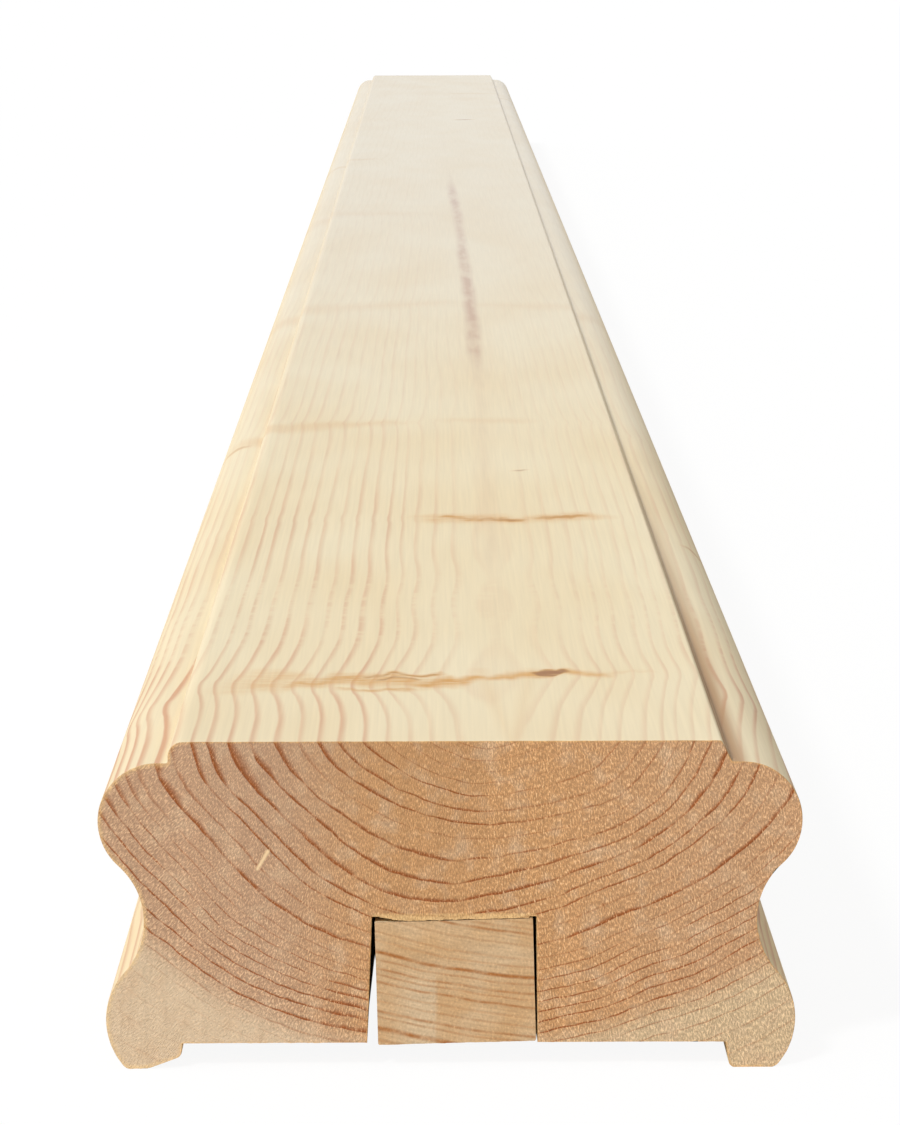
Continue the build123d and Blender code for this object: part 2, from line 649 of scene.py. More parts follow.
def new_material(name: str) -> tuple[bpy.types.Material, NodeSheet]:
    """Make a material and the empty sheet that its nodes go on.

    Args:
        name: Name of the material.

    Returns:
        The material and its sheet.
    """
    made = bpy.data.materials.new(name)
    made.use_nodes = True
    return made, NodeSheet(made.node_tree)


@dataclass(frozen=True)
class Branch:
    """A branch that the planed face cuts lengthwise: a cone through the wood.

    Places are across, along and up, in millimetres. Amber is the resin coloured wood round it and dark
    is its own heart, both as shares of the full tone.
    """

    start: tuple[float, float, float]
    end: tuple[float, float, float]
    start_radius: float
    end_radius: float
    amber: float
    dark: float
    blur: float = 1.2


@dataclass(frozen=True)
class PineFigure:
    """Growth of the tree inside the rail, in millimetres.

    The pith runs along the rail just over its table. A ring is a line of equal distance from it, with
    X squeezed, because the rings are flatter than circles.
    """

    squeeze: float = 1.35
    reach: float = 64.0
    table_height: float = 45.0
    pith_span: float = 30.0
    bulge_span: float = 5.0
    # Width, length, detail and sway of the slow drift and the quick shake of the rings
    drifts: tuple[tuple[float, float, float, float], ...] = ((16, 380, 1.0, 2.4), (3, 45, 3.0, 0.6))
    # How far the pith stands to the right, and how high over the table, by place along the rail
    pith_across: Table = (
        (0, 5.4), (57, 7.0), (150, 8.0), (236, 8.3), (525, 8.5), (690, 8.7), (940, 7.9),
        (1050, 7.2), (1200, 6.2), (1700, 4.0), (2400, 7.0),
    )
    pith_height: Table = (
        (0, 3.8), (30, 3.2), (57, 2.5), (95, 3.2), (125, 2.5), (155, 3.1), (190, 2.3), (236, 2.8),
        (330, 2.2), (480, 1.9), (530, 0.7), (570, 0.1), (700, 0.3), (850, 0.4), (990, 1.1),
        (1080, 0.4), (1190, 0.8), (1260, 1.9), (1700, 3.0), (2400, 4.6),
    )
    # How much farther out a ring lies in each direction, in degrees from straight down, inner and outer
    inner_shape: Table = (
        (-90, 3.0), (-60, 1.6), (-45, 0.9), (-30, 0.3), (-15, 0.0), (15, 0.2), (30, 0.5), (45, 1.4),
        (60, 2.2), (90, 3.0),
    )
    outer_shape: Table = (
        (-90, 3.6), (-75, 3.1), (-52, 2.2), (-40, 2.6), (-18, 3.4), (0, 2.2), (15, 0.7), (30, 0.0),
        (45, 0.3), (60, 0.8), (90, 1.6),
    )
    # Radius of each year's line, with its strength on the left and on the right and its thickness
    years: tuple[tuple[float, float, float, float], ...] = (
        (3.0, 0.45, 0.4, 0.3), (4.6, 0.4, 0.3, 0.3), (6.2, 0.35, 0.25, 0.3), (7.8, 0.3, 0.15, 0.3),
        (9.4, 0.4, 0.15, 0.3), (11.15, 0.9, 0.4, 0.4), (13.45, 0.75, 0.35, 0.4),
        (15.3, 0.95, 0.45, 0.45), (17.0, 0.3, 0.3, 0.3), (19.0, 0.75, 0.55, 0.4),
        (20.95, 0.9, 0.65, 0.45), (23.0, 1.0, 0.85, 0.65), (25.1, 1.0, 0.75, 0.5),
        (26.7, 0.9, 0.75, 0.45), (28.85, 0.45, 0.25, 0.3), (30.9, 1.0, 1.0, 0.55),
        (32.8, 0.3, 0.35, 0.25), (34.1, 0.45, 0.55, 0.3), (35.4, 0.6, 0.7, 0.35),
        (36.95, 0.7, 0.7, 0.3), (38.3, 0.75, 0.75, 0.35), (39.7, 0.95, 0.75, 0.4),
        (41.1, 1.0, 0.8, 0.45), (42.7, 1.0, 0.8, 0.45), (44.3, 0.3, 0.65, 0.35),
        (45.8, 0.15, 0.45, 0.3), (47.6, 0.1, 0.4, 0.25), (49.9, 0.06, 0.3, 0.25),
        (52.5, 0.06, 0.2, 0.25), (55.5, 0.05, 0.15, 0.25), (59.5, 0.05, 0.1, 0.25),
    )
    # Swelling of the rings by place along the rail, over the first stretch, where it shows most
    swell_reach: float = 256.0
    left_swell: Table = (
        (0, 0.1), (14, 0.3), (26, 0.8), (36, 1.5), (43, 2.1), (47, 2.2), (52, 1.9), (62, 1.35),
        (74, 0.9), (90, 0.6), (140, 0.5), (180, 0.45), (222, 0.45), (231, 0.6), (240, 0.45),
        (256, 0.35),
    )
    right_swell: Table = (
        (0, 0.1), (24, 0.2), (36, 0.55), (48, 1.1), (56, 1.45), (61, 1.3), (70, 0.85), (84, 0.5),
        (108, 0.4), (180, 0.25), (222, 0.3), (231, 0.45), (240, 0.3), (256, 0.2),
    )
    # Place, width and height of the sharp swelling at each later whorl of branches
    whorls: tuple[tuple[float, float, float], ...] = (
        (390, 14, 0.8), (690, 20, 1.0), (1085, 24, 1.2), (1430, 24, 2.0), (1790, 24, 2.0),
        (2120, 24, 2.0),
    )
    branches: tuple[Branch, ...] = (
        Branch((-18, 49, 45), (-13.4, 52.5, 45), 2.6, 3.0, 0.9, 0.1, 2.6),
        Branch((-13.4, 52, 45), (-8, 50, 45), 4.0, 4.6, 0.75, 0.0, 3.2),
        Branch((-8, 50, 45), (-3, 47, 45), 4.6, 3.6, 0.85, 0.0, 3.2),
        Branch((-3, 47, 45), (4, 53, 45), 3.0, 1.6, 1.0, 0.1, 2.4),
        Branch((-11.7, 54, 45), (-2, 54.5, 45), 1.3, 1.1, 1.0, 0.7, 1.5),
        Branch((-9.6, 50.5, 45), (-4.6, 51.5, 45), 1.3, 1.0, 1.0, 1.0, 1.5),
        Branch((-15, 43, 45), (-6, 42, 45), 0.8, 1.2, 0.8, 0.15, 1.6),
        Branch((-21, 46, 45), (-17.5, 51, 45), 3.0, 2.6, 0.75, 0.1, 3.0),
        Branch((-26.8, 45, 45), (-24, 55, 45), 3.0, 3.0, 0.5, 0.0, 3.4),
        Branch((-30, 43, 45), (-27, 55, 45), 3.0, 3.0, 0.3, 0.0, 3.4),
        Branch((14.6, 57, 47), (15.2, 57, 43), 3.0, 3.2, 1.0, 0.95, 0.9),
        Branch((7, 52.5, 45.2), (13, 56, 45), 1.8, 3.0, 0.9, 0.0, 2.6),
        Branch((17, 57, 45.2), (22, 55.5, 45), 2.4, 1.2, 0.8, 0.0, 2.4),
        Branch((22, 57, 45.2), (29, 56, 45), 0.8, 0.5, 0.3, 0.0, 1.8),
        Branch((1, 231, 45.2), (12, 229, 45), 5.0, 4.0, 0.6, 0.0, 4.6),
        Branch((0.5, 233, 45.2), (5, 229, 45), 2.0, 2.6, 1.0, 0.3, 2.4),
        Branch((7, 228, 45.2), (12.6, 229, 45), 2.2, 2.8, 1.0, 0.6, 2.4),
        Branch((18.6, 231, 45.2), (25.6, 233, 45), 4.6, 3.4, 0.6, 0.0, 4.4),
        Branch((18.8, 231, 45.2), (24.8, 233, 45), 2.8, 2.0, 1.0, 0.5, 2.4),
        Branch((-11, 391, 45.4), (-36, 380, 44.5), 2.0, 9.0, 0.4, 0.0, 6.0),
        Branch((4, 395, 45.2), (14, 393, 45), 3.0, 5.0, 0.25, 0.0, 5.0),
        Branch((-1, 696, 45.4), (-40, 672, 44), 4.0, 12.0, 0.3, 0.0, 12.0),
        Branch((11, 688, 45.2), (38, 680, 44), 4.0, 11.0, 0.25, 0.0, 12.0),
        Branch((-18, 1072, 45), (-40, 1072, 44), 8.0, 20.0, 0.25, 0.0, 16.0),
        Branch((15, 304, 46), (15.6, 305, 44), 1.8, 1.4, 0.25, 0.5, 1.0),
        Branch((-42.5, 374, 44), (-43.5, 375, 38), 2.4, 3.5, 0.6, 0.3, 2.0),
        Branch((44, 220, 44), (45.5, 221, 38), 1.6, 2.0, 0.35, 0.35, 1.4),
        Branch((-30, 1430, 44), (-48, 1412, 36), 3.0, 6.0, 0.4, 0.1, 6.0),
        Branch((14, 1792, 46), (18, 1796, 40), 4.0, 5.0, 0.6, 0.8, 1.6),
        Branch((12, 2122, 45), (48, 2110, 36), 2.0, 6.0, 0.6, 0.3, 4.0),
    )
    # Depths in a branch where its dark heart begins and is full, as shares of its blur
    heart_from: float = -0.2
    heart_to: float = 1.4
    # Soft veins beside the pith on the table, and painted shade in the corner of the right quirk, where the
    # step shades the bead
    veins_and_quirk_shade: tuple[Branch, ...] = (
        Branch((8.5, -4, 45), (4.6, 60, 45), 0.2, 0.6, 0.22, 0.0, 1.8),
        Branch((8.5, -4, 45), (12.2, 60, 45), 0.2, 0.6, 0.22, 0.0, 1.8),
        # Painted shade along the corner of the right quirk
        Branch((38.5, -10, 42.6), (38.5, 2410, 42.6), 2.3, 2.3, 0.0, 0.8, 1.8),
        Branch((37.4, -10, 43.8), (37.4, 2410, 43.8), 1.2, 1.2, 0.0, 0.8, 0.9),
    )
    # Marks on the near end: one pale splinter, and spots of resin
    marks: tuple[Branch, ...] = (
        Branch((-26.0, 0, 27.6), (-24.6, 0, 30.0), 0.2, 0.26, 1.0, 0.0, 0.16),
        Branch((-9.2, 0, 34.2), (-7.9, 0, 34.0), 0.2, 0.1, 0.0, 0.9, 0.25),
        Branch((-26.4, 0, 25.4), (-25.2, 0, 24.5), 0.28, 0.2, 0.0, 1.0, 0.25),
        Branch((20.6, 0, 22.6), (20.9, 0, 21.9), 0.3, 0.15, 0.0, 0.8, 0.3),
        Branch((32.4, 0, 25.6), (34.0, 0, 26.2), 0.25, 0.2, 0.0, 0.7, 0.3),
        Branch((45.2, 0, 33.4), (45.9, 0, 34.1), 0.25, 0.2, 0.0, 0.6, 0.3),
    )

    def rings(self, sheet: NodeSheet, place: Any) -> dict[str, Any]:
        """Work out where a point lies in the tree.

        Args:
            sheet: Tree to write in.
            place: Point in millimetres, across, along and up.

        Returns:
            Sockets: "ring", the radius of the ring; "radius", the distance from the pith; "turn", the
            direction from the pith, 0.5 straight down; "right", 0 left of the pith and 1 right of it;
            "part" of the year; "strength" and "thick", of the year's line; "gap", the usual width of a
            year; "across" and "drop", the place beside and under the pith; and "along".
        """
        put = sheet.add
        moved = place
        for width, length, detail, sway in self.drifts:
            drift = put("TexNoise", place, size=(width, length, width), Detail=detail, out="Color")
            drift = put("VectorMath SUBTRACT", drift, (0.5, 0.5, 0.5))
            drift = put("VectorMath MULTIPLY", drift, (sway, 0, sway))
            moved = put("VectorMath ADD", moved, drift)
        split = put("SeparateXYZ", moved).node.outputs
        along = put("SeparateXYZ", place, out="Y")
        share = put("Math DIVIDE", along, RAIL_LENGTH)
        span = self.pith_span
        pith = [
            put("FloatCurve", 1.0, share, points=[(a / RAIL_LENGTH, 0.5 + v / span) for a, v in curve])
            for curve in (self.pith_across, self.pith_height)
        ]
        pith_x = put("MapRange", pith[0], 0, 1, -span / 2, span / 2)
        pith_z = put("MapRange", pith[1], 0, 1, self.table_height - span / 2, self.table_height + span / 2)
        across = put("Math SUBTRACT", split["X"], pith_x)
        flat = put("Math DIVIDE", across, self.squeeze)
        drop = put("Math SUBTRACT", pith_z, split["Z"])
        radius = put("VectorMath LENGTH", put("CombineXYZ", flat, drop, 0.0), out="Value")
        turn = put("Math DIVIDE", put("Math ARCTAN2", flat, drop), math.pi)
        turn = put("Math ADD", turn, 0.5)
        shapes = [
            put("FloatCurve", 1.0, turn, points=[(a / 180 + 0.5, v / self.bulge_span) for a, v in shape])
            for shape in (self.inner_shape, self.outer_shape)
        ]
        outer = put("MapRange SMOOTHSTEP", radius, 15, 28, 0, 1)
        bulge = put("MapRange", outer, 0, 1, *shapes)
        bulge = put("Math MULTIPLY", bulge, self.bulge_span)
        reach = self.swell_reach
        near = put("Math DIVIDE", along, reach)
        swells = [
            put("FloatCurve", 1.0, near, points=[(a / reach, v / self.bulge_span) for a, v in curve])
            for curve in (self.left_swell, self.right_swell)
        ]
        right = put("MapRange SMOOTHSTEP", turn, 0.42, 0.6, 0, 1)
        swell = put("MapRange", right, 0, 1, *swells)
        swell = put("Math MULTIPLY", swell, self.bulge_span)
        for centre, width, height in self.whorls:
            off = put("Math ABSOLUTE", put("Math SUBTRACT", along, centre))
            off = put("Math EXPONENT", put("Math MULTIPLY", off, -1 / width))
            swell = put("Math MULTIPLY_ADD", off, height, swell)
        swell = put("Math MULTIPLY", swell, put("MapRange", radius, 16, 40, 1, 0.75))
        bulge = put("Math ADD", bulge, swell)
        bulge = put("Math MULTIPLY", bulge, put("MapRange", radius, 0, 11, 0, 1))
        ring = put("Math SUBTRACT", radius, bulge)
        count = len(self.years)
        marks = [(0.0, 0.0)]
        marks += [(year[0] / self.reach, (i + 1) / (count + 1)) for i, year in enumerate(self.years)]
        marks += [(1.0, 1.0)]
        age = put("FloatCurve", 1.0, put("Math DIVIDE", ring, self.reach), points=marks, stepped=True)
        age = put("Math MULTIPLY", age, count + 1.0)
        part = put("Math FRACT", age)
        year = put("Math ADD", put("Math FLOOR", age), 0.5)
        year = put("Math DIVIDE", year, count + 1.0)
        tones = [(i / (count + 1), (*row[1:], 1.0)) for i, row in enumerate(self.years)]
        weights = put("SeparateColor", put("ValToRGB", year, stops=tones, stepped=True)).node.outputs
        strength = put("MapRange", right, 0, 1, weights["Red"], weights["Green"])
        gap = put("MapRange", ring, 26, 34, 2.1, 1.45)
        thick = put("Math DIVIDE", weights["Blue"], gap)
        return {
            "ring": ring, "radius": radius, "turn": turn, "right": right, "part": part,
            "strength": strength, "thick": thick, "gap": gap,
            "across": across, "drop": drop, "along": along,
        }

    def knots(self, sheet: NodeSheet, place: Any, branches: Sequence[Branch]) -> tuple[Any, Any]:
        """Work out how far a point lies in some branches.

        The distance to a branch is that to its axis less its radius there.

        Args:
            sheet: Tree to write in.
            place: Point in millimetres, across, along and up.
            branches: The branches.

        Returns:
            Sockets of the amber tone and of the dark tone, from 0 to 1.
        """
        put = sheet.add
        amber: Any = 0.0
        dark: Any = 0.0
        for branch in branches:
            start = Vector(branch.start)
            run = Vector(branch.end) - start
            off = put("VectorMath SUBTRACT", place, start)
            part = put("VectorMath DOT_PRODUCT", off, run / run.length_squared, out="Value")
            part = put("Math ADD", part, 0.0, use_clamp=True)
            axis = put("VectorMath SCALE", run, Scale=part)
            apart = put("VectorMath DISTANCE", off, axis, out="Value")
            size = put("MapRange", part, 0, 1, branch.start_radius, branch.end_radius)
            depth = put("Math SUBTRACT", size, apart)
            tone = put("MapRange SMOOTHSTEP", depth, -branch.blur, branch.blur, 0, 1)
            amber = put("Math MAXIMUM", put("Math MULTIPLY", tone, branch.amber), amber)
            if branch.dark:
                shallow, deep = branch.blur * self.heart_from, branch.blur * self.heart_to
                core = put("MapRange SMOOTHSTEP", depth, shallow, deep, 0, branch.dark)
                dark = put("Math MAXIMUM", core, dark)
        return amber, dark


@dataclass(frozen=True)
class PlanedPine:
    """Pine planed along the grain and left bare.

    The plane leaves a silky face, on which the hard autumn wood of each year is a soft rose line and a
    knot is a smear of amber. The upper side has a satin gloss that grows towards the far end, so that a
    low view along it mirrors the pale surroundings there.
    """

    name: str = "planed_rail_pine"
    figure: PineFigure = PineFigure()
    cream: str = "#efdfba"
    straw: str = "#ecd7ac"
    rose: str = "#d6a47c"
    amber: str = "#d79c42"
    knot: str = "#99642c"
    # Brown of the painted shade in the right quirk
    painted_quirk_shade: str = "#9a5e20"
    pith: str = "#c0906a"
    line_width: float = 0.95
    # What a line's strength goes by, with the first and last value there and the shares at them
    line_shares: tuple[tuple[str, float, float, float, float], ...] = (
        ("part", 0.9, 1.0, 1, 0),
        ("strength", 0, 1, 0.4, 0.95),
        ("along", 60, 110, 1, 0.75),
        ("along", 225, 330, 1, 0.5),
        ("along", 330, 900, 1, 0.3),
        ("right", 0, 1, 1, 0.75),
        ("radius", 3, 9, 0.4, 1),
    )
    ior: float = 1.5
    roughness: float = 0.5
    gloss_roughness: float = 0.15
    # Share of the gloss by place along the rail
    gloss: Table = (
        (0, 0.0), (240, 0.0), (345, 0.1), (560, 0.33), (920, 0.63), (1500, 0.79), (2400, 0.83),
    )

    def material(self) -> bpy.types.Material:
        """Write the finish as a node material.

        Returns:
            The new material.
        """
        made, sheet = new_material(self.name)
        put = sheet.add
        place = sheet.place()
        wood = self.figure.rings(sheet, place)

        # Bare wood, a little deeper in slow patches
        broad = put("TexNoise", place, size=(24, 110, 24), Detail=2.0)
        colour = put("MixRGB", put("MapRange", broad, 0.35, 0.7, 0, 1), self.cream, self.straw)

        # Lines of the years, fainter right of the pith and far along, and broken into dashes past the
        # first whorl
        wide = put("Math DIVIDE", self.line_width, wood["gap"])
        line = put("MapRange SMOOTHSTEP", wood["part"], put("Math SUBTRACT", 1.0, wide), 0.9, 0, 1)
        patchy = put("TexNoise", place, size=(5, 60, 5), Detail=2.0)
        dashes = put("TexNoise", place, size=(6, 5, 6), Detail=2.0)
        off_middle = put("Math ABSOLUTE", put("Math SUBTRACT", wood["along"], 120.0))
        dashes = put("MapRange", put("MapRange", off_middle, 25, 45, 1, 0), 0, 1, 1.0,
                     put("MapRange", dashes, 0.4, 0.58, 0.4, 1.0))
        shares = [put("MapRange", wood[key], *spans) for key, *spans in self.line_shares]
        shares += [put("MapRange", patchy, 0.36, 0.56, 0.6, 1), put("MapRange", broad, 0.38, 0.54, 0.65, 1)]
        for share in (*shares, dashes):
            line = put("Math MULTIPLY", line, share)
        beside = put("Math ABSOLUTE", put("SeparateXYZ", place))
        bold = put("MapRange", beside, 38, 40, 1, put("MapRange", wood["along"], 40, 180, 1.8, 1))
        line = put("Math MULTIPLY", line, bold, use_clamp=True)
        colour = put("MixRGB", line, colour, self.rose)

        # Knots, drawn out in strokes, the veins, painted shade in the right quirk's corner and the pith
        # where it is laid bare
        waves = put("TexNoise", place, size=(5, 25, 5), Detail=2.0)
        waves = put("CombineXYZ", 0.0, put("MapRange", waves, 0.25, 0.75, -3, 3), 0.0)
        wavy = put("VectorMath ADD", place, waves)
        amber, dark = self.figure.knots(sheet, wavy, self.figure.branches)
        stroke = put("TexNoise", place, size=(9, 2.8, 4), Detail=2.0, Distortion=1.4)
        stroke = put("MapRange", stroke, 0.38, 0.56, 0.6, 1.0)
        stroke = put("MapRange", wood["along"], 250, 360, stroke, 0.7)
        colour = put("MixRGB", put("Math MULTIPLY", amber, stroke), colour, self.amber)
        colour = put("MixRGB", put("Math MULTIPLY", dark, stroke), colour, self.knot)
        vein, painted_quirk_shade = self.figure.knots(sheet, place, self.figure.veins_and_quirk_shade)
        colour = put("MixRGB", vein, colour, self.amber)
        # The painted shade in the quirk is full near the end and gone by 350 mm along
        painted_quirk_shade = put("Math MULTIPLY", painted_quirk_shade, put("MapRange", wood["along"], 60, 350, 1, 0))
        colour = put("MixRGB", painted_quirk_shade, colour, self.painted_quirk_shade)
        core = put("VectorMath LENGTH", put("CombineXYZ", wood["across"], wood["drop"], 0.0), out="Value")
        core = put("MapRange SMOOTHSTEP", core, 0.2, 2.9, 0.85, 0)
        blots = put("TexNoise", place, size=(5, 45, 5))
        core = put("Math MULTIPLY", core, put("MapRange", blots, 0.38, 0.6, 0.45, 1))
        colour = put("MixRGB", core, colour, self.pith)

        # Fibres, really 0.03 mm wide and drawn at 0.5 mm so that they show
        fine = put("TexNoise", place, size=(0.5, 40, 0.5), Detail=2.0)
        colour = put("MixRGB MULTIPLY", 1.0, colour, put("MapRange", fine, 0.3, 0.7, 0.965, 1.03))
        bump = put("Bump", Strength=0.4, Distance=0.03 * MM, Height=fine)
        gloss = put("FloatCurve", 1.0, put("Math DIVIDE", wood["along"], RAIL_LENGTH),
                    points=[(a / RAIL_LENGTH, v) for a, v in self.gloss])
        upper = put("MapRange", put("SeparateXYZ", place, out="Z"), 36, 40, 0, 1)
        # Less specular where the quirk's shade is painted, so that it stays dark
        shine = put("MapRange", painted_quirk_shade, 0, 0.6, 0.5, 0.1)
        shader = put("BsdfPrincipled", colour, IOR=self.ior, Roughness=self.roughness, Normal=bump,
                     Specular_IOR_Level=shine, Coat_Weight=put("Math MULTIPLY", gloss, upper),
                     Coat_Roughness=self.gloss_roughness)
        put("OutputMaterial", shader)
        return made


@dataclass(frozen=True)
class SawnPine:
    """Pine sawn straight across and left rough.

    The saw tears the fibres, so the face is matt, darker and redder than the planed sides and covered in
    short pale hairs, whose specks are partly painted light and shade. The years are orange brown arcs, the
    sapwood outside them is paler, and the fibres bent over the edge make a golden fringe, partly a painted
    highlight along the edge.
    """

    name: str = "sawn_rail_pine"
    figure: PineFigure = PineFigure()
    heart: str = "#c19365"
    rosy_heart: str = "#ba997f"
    sap: str = "#d0ba9e"
    right_sap: str = "#c9b18f"
    late: str = "#93501f"
    silver: str = "#ccb092"
    hair: str = "#ecd0a6"
    # Colours of the fringe, partly the bent fibres and partly a painted highlight along the edge
    fringe_and_glint: str = "#e0ac66"
    pale_fringe_and_glint: str = "#ecca90"
    hair_width: float = 0.2
    hair_length: float = 0.55
    hair_depth: float = 5 / 3
    ior: float = 1.5
    roughness: float = 0.85

    def material(self) -> bpy.types.Material:
        """Write the finish as a node material.

        Returns:
            The new material.
        """
        made, sheet = new_material(self.name)
        put = sheet.add
        place = sheet.place()
        wood = self.figure.rings(sheet, place)

        # Heartwood, rosier towards the sides, the sapwood round it and silvery patches in both
        rosy = put("MapRange SMOOTHSTEP", wood["across"], -12, -32, 0, 0.8)
        rosy = put("Math MAXIMUM", rosy, put("MapRange", wood["across"], 8, 30, 0, 0.4))
        colour = put("MixRGB", rosy, self.heart, self.rosy_heart)
        sap = put("MapRange SMOOTHSTEP", wood["ring"], 41.5, 46.5, 0, 1)
        outer = put("MixRGB", wood["right"], self.sap, self.right_sap)
        colour = put("MixRGB", sap, colour, outer)
        mottle = put("TexNoise", place, size=(3.5, 9, 3.5), Detail=2.0)
        colour = put("MixRGB", put("MapRange", mottle, 0.5, 0.7, 0, 0.5), colour, self.silver)

        # Lines of the years: soft where the summer begins them and sharp where the winter ends them, heavy
        # at the upper left and at the groove's left side, and broken in places
        patchy = put("TexNoise", place, size=(4, 60, 4), Detail=2.0)
        usual = put("MapRange", wood["ring"], 30, 35, 1.0, 0.72)
        heavy = put("MapRange SMOOTHSTEP", wood["turn"], 0.15, 0.085, usual, 1.9)
        by_groove = put("VectorMath DISTANCE", place, (-12.5, 0, 6), out="Value")
        heavy = put("Math MULTIPLY", heavy, put("MapRange", by_groove, 3, 9, 2.6, 1))
        heavy = put("Math MULTIPLY", heavy, put("MapRange", patchy, 0.3, 0.7, 0.5, 1.5))
        begin = put("Math SUBTRACT", 1.0, put("Math MULTIPLY", wood["thick"], heavy))
        line = put("MapRange SMOOTHSTEP", wood["part"], begin, 0.93, 0, 1)
        for source, *spans in (
            (wood["part"], 0.95, 1.0, 1, 0),
            (wood["strength"], 0, 0.8, 0.05, 1),
            (patchy, 0.36, 0.5, 0.4, 1.0),
        ):
            line = put("Math MULTIPLY", line, put("MapRange", source, *spans))
        colour = put("MixRGB", line, colour, self.late)

        # Torn fibres, upright on the right and leaning with the rings on the left, really 0.03 mm wide and
        # drawn as coarse as they need to show. The smooth sapwood on the left has fewer.
        lean = put("MapRange", put("SeparateXYZ", place), -35, 5, -0.7, 0.15)
        leaning = put("VectorRotate", place, (0, 0, 0), (0, 1, 0), lean)
        hair = (self.hair_width, self.hair_depth, self.hair_length)
        torn = put("TexNoise", leaning, size=hair, Detail=2.5, Roughness=0.7)
        calm = put("Math MULTIPLY", sap, put("Math SUBTRACT", 1.0, wood["right"]))
        gain = put("MapRange", wood["turn"], 0.1, 0.35, 2.7, 3.9)
        gain = put("MapRange", calm, 0, 1, gain, 1.0)
        # The light and dark specks are partly the fibres' own tone and partly painted light and shade on
        # the torn fibres
        fuzz = put("Math MULTIPLY_ADD", put("Math SUBTRACT", torn, 0.51), gain, 1.0)
        fuzz = put("Math SMOOTH_MAX", fuzz, 0.78, 0.2)
        colour = put("MixRGB MULTIPLY", 1.0, colour, fuzz)
        # Pale hairs, partly a painted glint of light on the torn fibres
        pale_and_glint_share = put("Math MULTIPLY", put("MapRange", torn, 0.58, 0.68, 0, 0.2), gain)
        colour = put("MixRGB", pale_and_glint_share, colour, self.hair)
        streak = put("TexNoise", place, size=(1.3, self.hair_depth, 45))
        colour = put("MixRGB MULTIPLY", 1.0, colour, put("MapRange", streak, 0.35, 0.65, 0.96, 1.04))

        # One splinter, spots of resin and the fringe: bent fibres and a painted highlight along the edge
        splinter, resin = self.figure.knots(sheet, place, self.figure.marks)
        colour = put("MixRGB", splinter, colour, self.hair)
        colour = put("MixRGB", resin, colour, self.late)
        rim = put("Attribute", attribute_name="rim", out="Fac")
        split = put("SeparateXYZ", place).node.outputs
        by_root = put("Math COMPARE", split["Z"], 20.7, 0.7)
        by_root = put("Math MULTIPLY", by_root, put("Math COMPARE", split["X"], 0.5, 11.0))
        # The painted highlight on the edge is palest and widest on the left side and at the groove's root
        pale_side = put("MapRange", split["X"], -34, -40, 0.15, 1)
        pale_side = put("Math MAXIMUM", pale_side, by_root)
        tone = put("MixRGB", pale_side, self.fringe_and_glint, self.pale_fringe_and_glint)
        edge = put("MapRange SMOOTHSTEP", rim, put("MapRange", pale_side, 0, 1, 0.35, 0.9), 0.05, 0, 0.75)
        edge = put("Math MULTIPLY", edge, put("MapRange", torn, 0.4, 0.6, 0.4, 1))
        colour = put("MixRGB", edge, colour, tone)
        bump = put("Bump", Strength=0.8, Distance=0.3 * MM, Height=torn)
        shader = put("BsdfPrincipled", colour, IOR=self.ior, Roughness=self.roughness, Normal=bump)
        put("OutputMaterial", shader)
        return made


@dataclass(frozen=True)
class StripFigure:
    """Growth rings in the fillet strip, in millimetres: wide arcs about a pith far above it."""

    pith_across: float = 21.0
    pith_height: float = 126.0
    # Radius, strength and half width of each year's line
    years: tuple[tuple[float, float, float], ...] = (
        (106.5, 0.35, 0.3), (107.3, 0.4, 0.3), (108.0, 0.75, 0.36), (109.6, 0.25, 0.3),
        (111.5, 0.3, 0.3), (112.6, 0.4, 0.3), (114.0, 1.0, 0.46), (115.0, 0.45, 0.3),
        (116.2, 0.65, 0.34), (117.0, 0.45, 0.3), (118.0, 0.8, 0.34), (119.4, 0.3, 0.3),
        (120.6, 0.35, 0.3), (122.0, 0.65, 0.36), (122.8, 0.4, 0.3), (124.4, 1.0, 0.6),
        (126.0, 0.4, 0.34),
    )

    def rings(self, sheet: NodeSheet, place: Any) -> tuple[Any, Any]:
        """Work out the distance from the pith and how far a point lies in the line of a year.

        Args:
            sheet: Tree to write in.
            place: Point in millimetres, across, along and up.

        Returns:
            Sockets of the distance and of the line's tone, from 0 to 1.
        """
        put = sheet.add
        bend = put("TexNoise", place, size=(9, 300, 9), Detail=2.0, out="Color")
        bend = put("VectorMath MULTIPLY", put("VectorMath SUBTRACT", bend, (0.5, 0.5, 0.5)), (1.0, 0, 1.0))
        from_pith = (-self.pith_across, 0, -self.pith_height)
        moved = put("VectorMath ADD", put("VectorMath ADD", place, bend), from_pith)
        moved = put("VectorMath MULTIPLY", moved, (1, 0, 1))
        radius = put("VectorMath LENGTH", moved, out="Value")
        patchy = put("TexNoise", place, size=(3, 60, 1.5), Detail=2.0)
        line: Any = 0.0
        for year, strength, half_width in self.years:
            off = put("Math ABSOLUTE", put("Math SUBTRACT", radius, year))
            mark = put("MapRange", off, half_width * 0.2, half_width * 0.8, strength, 0)
            line = put("Math MAXIMUM", line, mark)
        line = put("Math MULTIPLY", line, put("MapRange", patchy, 0.36, 0.56, 0.45, 1.0))
        return radius, line


